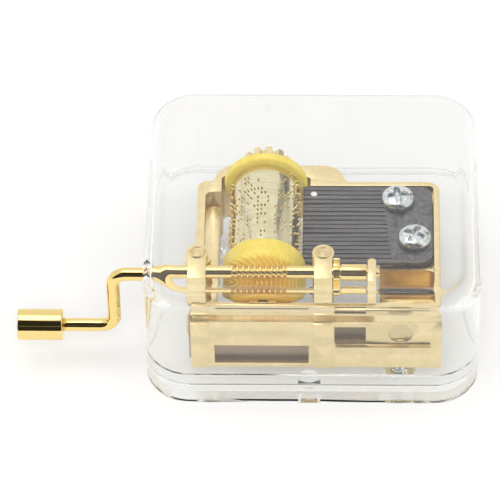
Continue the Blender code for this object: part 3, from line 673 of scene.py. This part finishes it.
def pan_head(x, y, low, radius, rise, recess, turn):
    """A pan head with a cross recess.

    The dome is rise * (1 - (r/R)^3.2) over its rim, whose last tenth curls down. The cross is sunk where
    either bar's width or the round core covers the point.
    """
    r = radius * np.concatenate([np.linspace(1, 0.84, 6), np.linspace(0.8, 0.02, 46)])[:, None]
    a = np.linspace(0, 2 * math.pi, 144, endpoint=False)[None] + 0.3
    px, py = r * np.cos(a), r * np.sin(a)
    curl = 0.22 * np.clip((r / radius - 0.9) / 0.1, 0, 1) ** 2
    dome = 0.95 + rise * (1 - (r / radius) ** 3.2) * np.ones_like(a) - curl
    t = math.radians(turn)
    u, v = px * math.cos(t) + py * math.sin(t), -px * math.sin(t) + py * math.cos(t)
    half, reach = 0.13 * radius, 0.60 * radius

    def bar(p, q):
        across = np.clip((half - np.abs(p)) / (0.10 * radius) + 0.5, 0, 1)
        along = np.clip((reach - np.abs(q)) / (0.16 * radius) + 0.5, 0, 1)
        return across * along

    core = np.clip((0.24 * radius - np.hypot(u, v)) / (0.10 * radius) + 0.5, 0, 1)
    sunk = np.maximum(np.maximum(bar(u, v), bar(v, u)), core)
    top = np.stack([x + px, y + py, low + dome - recess * sunk], -1)
    z, k = np.array([(low, 0.3 * radius), (low, 0.97 * radius), (low + 0.12, radius)]).T[..., None]
    skirt = np.stack([x + k * np.cos(a), y + k * np.sin(a), z * np.ones_like(a)], -1)
    return shell(np.concatenate([skirt, top]))


def comb_screws():
    """The comb's two screws."""
    for name, (x, y) in COMB_SCREWS.items():
        low = COMB_TOP + FIT
        head = pan_head(x, y, low, SCREW_HEAD_R, 0.85, 1.05, 8.0 if name == "back" else -24.0)
        shank = cylinder("Z", (x, y, 0), COMB_SEAT - 5.2, low + 0.3, SCREW_SHANK_R, 40, 0.3)
        obj = make(f"pan_screw_{name}", [head, shank], LOOK["zinc"], "base", 32.0)
        stand_for(obj, f"comb_screw_{name}")


# ---------------------------------------------------------------- cylinder


def barrel():
    """The barrel: a tube with eased ends."""
    inner = BARREL_R - BARREL_WALL
    corners = [(BARREL_Y0, inner), (BARREL_Y0, BARREL_R), (BARREL_Y1, BARREL_R), (BARREL_Y1, inner)]
    tube = turned(eased(corners, 0.12, 3, loop=True), "Y", (AXLE_X, 0, AXLE_Z), 144, wrap=True)
    stand_for(make("brass_barrel", [tube], LOOK["barrel"], "cylinder"), "cylinder_barrel")


def pins():
    """The tune's pins: small tapered pegs that stand out from the barrel, one track for each tooth.

    They lie in groups, on steps of one angle. Each peg is a tapered eight-sided rod turned to its angle
    about the arbor and moved along to its track.
    """
    chance = np.random.default_rng(23)
    group = chance.integers(0, PIN_GROUPS, PINS)
    middle = chance.uniform(0, 2 * math.pi, PIN_GROUPS)[group]
    track = chance.integers(0, COMB_TEETH, PIN_GROUPS)[group] + chance.integers(-2, 3, PINS)
    track = np.clip(track, 0, COMB_TEETH - 1)
    step = np.round((middle + chance.normal(0, 0.16, PINS)) / PIN_STEP) * PIN_STEP
    key = np.unique(np.stack([track, np.round(step % (2 * math.pi), 4)], -1), axis=0)
    track, angle = key[:, 0].astype(int), key[:, 1]
    y = COMB_Y0 + (track + 0.5) * TOOTH_PITCH
    c, s, zero, one = np.cos(angle), np.sin(angle), np.zeros(len(key)), np.ones(len(key))
    turns = np.stack([c, zero, s, zero, one, zero, -s, zero, c], -1).reshape(-1, 3, 3)
    shifts = np.stack([AXLE_X + zero, y, AXLE_Z + zero], -1)
    foot, shoulder, tip = BARREL_R - 0.2, BARREL_R + PIN_RISE - 0.1, BARREL_R + PIN_RISE
    peg = turned([(foot, 0.20), (shoulder, 0.18), (tip, 0.10)], "Z", (0, 0, 0), 8)
    obj = make("tune_pins", [many(peg, (turns, shifts))], LOOK["pins"], "cylinder", 30.0)


def wheel():
    """The yellow worm wheel: a plain rim at the back and a bevelled face of slanting flutes in front.

    A flute's depth goes with 1 + cos(p - 0.45 sin p), broad in the hollow and narrow at the crest. The
    phase p turns once for each tooth and moves on with the place along the bevel. Both ends of the bevel
    fade it out.
    """
    along, across = math.cos(BEVEL), math.sin(BEVEL)
    back = CONTACT_Y + (WHEEL_R - PITCH_R) * along / across
    front = CONTACT_Y - BEVEL_AHEAD
    front_r = PITCH_R - BEVEL_AHEAD * across / along
    corners = [(front, BORE_R), (front, 3.6), (front, front_r), (back, WHEEL_R), (WHEEL_BACK, WHEEL_R)]
    well = WHEEL_BACK + WELL_DEPTH
    corners += [(WHEEL_BACK, WELL_R), (well, WELL_R), (well, BORE_R)]
    path = eased(corners, [0.1, 0.1, 0.12, 0.5, 0.55, 0.1, 0.1, 0.1], 5, loop=True)
    gaps = [np.linspace(path[k], path[(k + 1) % len(path)], 14, endpoint=False) for k in range(len(path))]
    lengths = np.linalg.norm(path - np.roll(path, -1, 0), axis=1)
    path = np.concatenate([g if n > 1.0 else g[:1] for g, n in zip(gaps, lengths)])
    y, r = path[:, :1], path[:, 1:]
    around = WHEEL_TEETH * 14
    angle = np.arange(around)[None] * 2 * math.pi / around
    slant = WORM_PITCH / (2 * math.pi * CONTACT)
    run = (y - CONTACT_Y) / along
    turn_by = -(slant * run + 0.30 * np.clip(run, 0, None) ** 1.4) / PITCH_R
    phase = WHEEL_TEETH * (angle - turn_by)
    flute = 0.5 + 0.5 * np.cos(phase - 0.45 * np.sin(phase))
    fade = np.clip((y - front) / 0.25 + 0.6, 0, 1) * np.clip((back + 1.1 - y) / 1.6, 0, 1)
    sunk = FLUTE_DEPTH * flute * (fade * (r > front_r - 0.2))
    radius = r - sunk * along
    x = AXLE_X + radius * np.sin(angle)
    z = AXLE_Z + radius * np.cos(angle)
    rings = np.stack([x, y + sunk * across * (y > front + 0.05), z], -1)
    obj = make("yellow_worm_wheel", [shell(rings, wrap=True)], LOOK["yellow"], "cylinder", 40.0)
    stand_for(obj, "worm_wheel")


def flange():
    """The yellow flange behind the barrel, with a full round rim."""
    y0, y1 = FLANGE_Y0, FLANGE_Y0 + FLANGE_T
    spigot = y0 - WELL_DEPTH
    corners = [(spigot, BORE_R), (spigot, WELL_R), (y0, WELL_R)]
    corners += [(y0, FLANGE_R), (y1, FLANGE_R), (y1, BORE_R)]
    path = eased(corners, [0.1, 0.1, 0.1, 0.7, 0.7, 0.1], 7, loop=True)
    skin = turned(path, "Y", (AXLE_X, 0, AXLE_Z), 128, wrap=True)
    stand_for(make("yellow_flange", [skin], LOOK["yellow"], "cylinder"), "rear_flange")


def hub():
    """The castellated hub behind the flange."""
    skin = castellated(HUB_Y0, HUB_Y0 + HUB_LEN, HUB_R, 12, AXLE_R + FIT, (AXLE_X, 0, AXLE_Z), "Y")
    stand_for(make("gold_hub", [skin], LOOK["hub"], "cylinder", 30.0), "rear_hub")


def arbor():
    """The steel arbor, as long as its solid."""
    lo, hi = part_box("cylinder_arbor")
    skin = cylinder("Y", (AXLE_X, 0, AXLE_Z), lo.y / MM, hi.y / MM, AXLE_R, 48, 0.15)
    stand_for(make("steel_arbor", [skin], LOOK["arbor"], "cylinder"), "cylinder_arbor")


# ---------------------------------------------------------------- crank


def crank_rod():
    """One bent rod. Its middle line is straight, then bends down and out again by quarter circles.

    The worm's groove depth is a wave of x / pitch + angle / 2 pi, squared off by tanh and faded at its ends.
    """
    half = WORM_TURNS * WORM_PITCH / 2
    worm = np.arange(WORM_TURNS * 20 + 1) * -WORM_PITCH / 20 + WORM_X + half
    a = np.linspace(0, math.pi / 2, 15)
    first = np.stack([ARM_X + BEND_R * (1 - np.sin(a)), SHAFT_Z - BEND_R * (1 - np.cos(a)), a], -1)
    b = a[::-1]
    second = np.stack([ARM_X - BEND_R * (1 - np.sin(b)), KNOB_Z + BEND_R * (1 - np.cos(b)), b], -1)
    start = [(TIP_X, SHAFT_Z, 0), (TIP_X - 0.12, SHAFT_Z, 0), (9.4, SHAFT_Z, 0), (9.3, SHAFT_Z, 0)]
    end_x = KNOB_X0 + CAP_DEPTH
    end = [(end_x + 0.12, KNOB_Z, 0), (end_x, KNOB_Z, 0)]
    straight = np.stack([worm, np.full(worm.shape, SHAFT_Z), np.zeros(worm.shape)], -1)
    line = np.concatenate([start, straight, first, second, end])
    thin = np.zeros(len(line))
    thin[:4] = 0.5, 0.4, 0.4, 0.0
    thin[-1] = 0.12
    x, z, bend = line[:, :1], line[:, 1:2], line[:, 2:]
    around = 64
    theta = np.arange(around)[None] * 2 * math.pi / around
    facing = math.pi / 2 - BEVEL
    turn = (x - AXLE_X) / WORM_PITCH + (theta + facing) / (2 * math.pi)
    wave = -np.cos(2 * math.pi * turn)
    ends = np.clip((half - np.abs(x - WORM_X)) / 0.7, 0, 1) * (bend == 0) * (z > SHAFT_Z - 0.01)
    groove = WORM_DEPTH * (0.5 + 0.5 * np.tanh(1.6 * wave) / np.tanh(1.6)) * ends
    radius = ROD_R - thin[:, None] - groove
    side, up = radius * np.cos(theta), radius * np.sin(theta)
    rings = np.stack([x - up * np.sin(bend), SHAFT_Y + side, z + up * np.cos(bend)], -1)
    stand_for(make("gold_crank_rod", [shell(rings)], LOOK["crank"], "crank", 50.0), "crank_rod")


def crank_fittings():
    """The knob on its pin, the pin's flat head, and the collar and sleeve on the shaft."""
    at_knob, at_shaft = (0, SHAFT_Y, KNOB_Z), (0, SHAFT_Y, SHAFT_Z)
    x0, x1, bore, well = KNOB_X0, KNOB_X0 + KNOB_LEN, ROD_R + FIT, CAP_R + FIT
    corners = [(x0 + CAP_DEPTH, bore), (x0 + CAP_DEPTH, well), (x0, well)]
    corners += [(x0, KNOB_R), (x1, KNOB_R), (x1, bore)]
    path = eased(corners, [0.05, 0.05, 0.1, 0.3, 0.35, 0.15], 5, loop=True)
    knob = turned(path, "X", at_knob, 128, wrap=True)
    stand_for(make("gold_knob", [knob], LOOK["crank"], "knob"), "crank_knob")
    head = cylinder("X", at_knob, x0 + 0.15, x0 + CAP_DEPTH - FIT, CAP_R, 64, 0.25)
    stand_for(make("gold_pin_head", [head], LOOK["crank"], "crank"), "knob_cap")
    ring = castellated(COLLAR_X0, COLLAR_X0 + COLLAR_W, COLLAR_R, 12, ROD_R + 0.1, at_shaft, "X")
    stand_for(make("gold_collar", [ring], LOOK["crank"], "crank", 30.0), "shaft_collar")
    bore = ROD_R + 0.1
    corners = [(SLEEVE_X0, bore), (SLEEVE_X0, bore + 0.25), (SLEEVE_X1, bore + 0.25), (SLEEVE_X1, bore)]
    tube = turned(eased(corners, 0.08, 3, loop=True), "X", at_shaft, 96, wrap=True)
    stand_for(make("gold_sleeve", [tube], LOOK["crank"], "crank"), "shaft_sleeve")


def small_parts():
    """The lead weights and the tray's screws."""
    for k in range(1, 6):
        lo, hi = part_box(f"comb_weight_{k}")
        x0, y0, z0, x1, y1, z1 = (v / MM for v in (*lo, *hi))
        skin = block(x0, x1, y0, y1, z0, z1, 0.12)
        stand_for(make(f"lead_weight_{k}", [skin], LOOK["lead"], "base"), f"comb_weight_{k}")
    for k in range(1, 4):
        mesh = softened(f"tray_screw_{k}", f"zinc_tray_screw_{k}", 0.08, 30.0)
        stand_for(finish_mesh(f"zinc_tray_screw_{k}", mesh, LOOK["zinc"], "base"), f"tray_screw_{k}")


# ---------------------------------------------------------------- studio


def studio_light():
    """Soft white light all round, a little brighter to rays from the camera, mirrors and the clear case.

    Only what is blurred in metal, or has passed the case's walls twice over, also meets a dark patch in
    front and two dark bars behind, so that a clear edge in plain view stays light.
    """
    world = bpy.data.worlds.new("studio")
    bpy.context.scene.world = world
    world.use_nodes = True
    f = Finish(world.node_tree)
    kinds = CAMERA_RAY, GLOSSY_RAY, MIRROR_RAY, THROUGH_RAY, THROUGH_DEPTH
    way = f.node("TexCoord")
    x, y, z = (f.node("SeparateXYZ", {}, [way], k) for k in range(3))
    front = f.step(0 - y, 0.02, 0.10)
    aside = x / f.node("Math", {"operation": "MAXIMUM"}, [abs(y), 0.01])
    patch = front * f.step(aside, -2.5, -2.1) * f.step(1.35 - aside, 0.0, 0.25)
    patch = patch * f.step(z, -0.33, -0.27) * f.step(0.975 - z, 0.0, 0.02)
    slit = f.step(0.03 - abs(z - 0.55), 0.0, 0.02)
    patch = patch * (1.0 - 0.25 * slit)
    behind = f.step(y, 0.1, 0.2)
    bar = behind * f.step(aside, 0.64, 0.70) * (0.45 + 0.55 * f.step(0.97 - aside, 0.0, 0.06))
    line = behind * f.step(0.07 - abs(aside + 1.05), 0.0, 0.03)
    bar = (bar + 0.8 * line) * f.step(z, -0.1, 0.05) * f.step(0.66 - z, 0.0, 0.06)
    direct, any_glossy, mirror, through, depth = (f.node("LightPath", out=k) for k in kinds)
    glossy = any_glossy * (1.0 - mirror)
    inside = through * (depth > 3.5)
    dark = patch * (0.97 * glossy + inside) + bar * (0.85 * glossy + inside)
    seen = direct + any_glossy + through
    level = 0.56 + 0.36 * seen
    level = level * (1.0 - f.node("Math", {"operation": "MINIMUM"}, [dark, 1.0]))
    shade = f.blend(level, (0, 0, 0), (1.0, 0.995, 0.985))
    back = f.tree.nodes["Background"]
    f.tree.links.new(shade.socket, back.inputs[0])
    back.inputs[1].default_value = 1.0


def lamp(name, place, aim, size, power, mirrored=True):
    """A round lamp, which mirrors and the clear case show only if it is mirrored."""
    data = bpy.data.lights.new(name, "AREA")
    data.size, data.energy, data.shape = size, power, "DISK"
    obj = linked(name, data)
    obj.location = place
    obj.visible_glossy = obj.visible_transmission = mirrored
    obj.rotation_euler = (Vector(aim) - Vector(place)).to_track_quat("-Z", "Y").to_euler()


def studio():
    """A pale floor and the lamps."""
    side, low = 3.0, -0.0002
    mesh = bpy.data.meshes.new("floor")
    corners = [(-side, -side, low), (side, -side, low), (side, side, low), (-side, side, low)]
    mesh.from_pydata(corners, [], [(0, 1, 2, 3)])
    made, f, shader = finish_of("pale_floor")
    set_up(shader, f, Base_Color=(0.66, 0.66, 0.655), Roughness=0.9, Specular_IOR_Level=0.1)
    set_up(shader, f, Emission_Color=(1.0, 0.99, 0.98), Emission_Strength=0.30)
    mesh.materials.append(made)
    floor = linked("floor", mesh)
    lamp("lamp_top", (-0.15, 0.10, 0.75), (0, 0, 0), 0.5, 0.9)
    lamp("lamp_left", (-0.60, 0.0, 0.40), (0, 0, 0.01), 0.35, 0.9, False)
    lamp("lamp_right", (0.60, 0.0, 0.40), (0, 0, 0.01), 0.35, 0.8, False)
    lamp("lamp_front", (0.0, -0.45, 0.50), (0, 0, 0.01), 0.4, 1.9, False)


def camera():
    """A long lens 48 degrees above the table, a little right of the middle and aimed a degree aside."""
    e, psi, roll, aside = (math.radians(v) for v in (48.0, 0.58, -0.15, 0.99))
    distance = 0.6641
    back = np.array([math.sin(psi) * math.cos(e), -math.cos(psi) * math.cos(e), math.sin(e)])
    right0 = np.array([math.cos(psi), math.sin(psi), 0.0])
    up0 = np.cross(back, right0)
    right = math.cos(roll) * right0 + math.sin(roll) * up0
    up = -math.sin(roll) * right0 + math.cos(roll) * up0
    eye = np.array([0.0, 0.0, 12.0]) * MM + back * distance
    back = math.cos(aside) * back + math.sin(aside) * right
    right = np.cross(up, back)
    data = bpy.data.cameras.new("camera")
    data.sensor_width, data.lens = 36.0, 262.1
    data.clip_start, data.clip_end = 0.01, 10.0
    obj = linked("camera", data)
    turn = Matrix([right, up, back]).transposed().to_4x4()
    obj.matrix_world = Matrix.Translation(Vector(eye)) @ turn
    bpy.context.scene.camera = obj


LOOK = {
    "cover": clear_acrylic("clear_cover_acrylic", (0.985, 0.99, 0.99), 1.49),
    "tray": clear_acrylic("clear_tray_acrylic", (0.98, 0.985, 0.985), 1.25),
    "cast": cast_gold(),
    "rivet": rivet_gold(),
    "hub": cast_gold("hub_gold"),
    "crank": polished_gold("crank_gold", (0.93, 0.72, 0.29)),
    "pins": polished_gold("pin_gold", (0.93, 0.76, 0.40), 0.30),
    "barrel": barrel_brass(),
    "comb": comb_steel(),
    "zinc": zinc(),
    "arbor": plain_steel("arbor_steel", (0.45, 0.44, 0.43), 0.2),
    "lead": dull_lead(),
    "copper": plain_steel("damper_copper", (0.80, 0.42, 0.20), 0.25),
    "yellow": yellow_plastic(),
    "speck": white_paint(),
}
camera()
studio_light()
studio()
cover()
tray()
casting()
comb()
comb_screws()
barrel()
pins()
wheel()
flange()
hub()
arbor()
crank_rod()
crank_fittings()
small_parts()
scene = bpy.context.scene
scene.view_settings.view_transform = "Standard"
scene.cycles.max_bounces, scene.cycles.transmission_bounces, scene.cycles.glossy_bounces = 28, 28, 20
